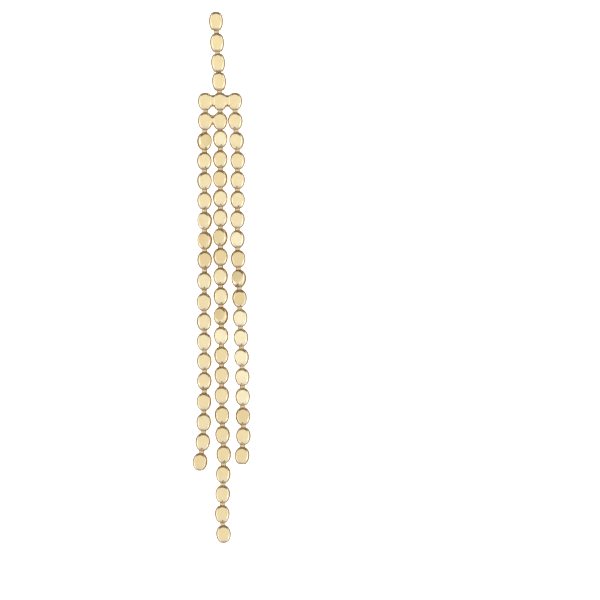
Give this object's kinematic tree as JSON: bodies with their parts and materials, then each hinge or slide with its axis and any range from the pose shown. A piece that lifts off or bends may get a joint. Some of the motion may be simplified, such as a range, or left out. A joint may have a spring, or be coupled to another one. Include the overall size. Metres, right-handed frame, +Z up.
{
  "type": "dangle earring",
  "caption": "Long dangle earring of flat-faced ball chain: a short stem of beads on an ear post, a soldered bar of beads, and three hanging strands, the middle one longest.",
  "frame": {"origin": "root of the ear post, in the middle of the top bead's back face", "axes": "+Z up as worn, opposite to the way the strands hang; +Y backwards along the ear post; the flat bead fronts face -Y"},
  "size_m": [0.0074, 0.0116, 0.0675],
  "materials": {
    "bead_gold": "polished pale yellow gold plate",
    "pin_gold": "gold plate, a little duller and warmer"
  },
  "bodies": {
    "root": {"ear_post_with_top_bead": "bead_gold", "stem_pin_1": "pin_gold", "stem_bead_2": "bead_gold", "stem_pin_2": "pin_gold", "stem_bead_3": "bead_gold", "stem_pin_3": "pin_gold", "stem_bead_4": "bead_gold", "stem_pin_4": "pin_gold", "bar_of_soldered_beads": "bead_gold", "bar_pin_left": "pin_gold", "bar_pin_centre": "pin_gold", "soldered_bead_pair": "bead_gold", "strand_left": "bead_gold", "strand_centre": "bead_gold", "strand_right": "bead_gold"}
  },
  "joints": []
}
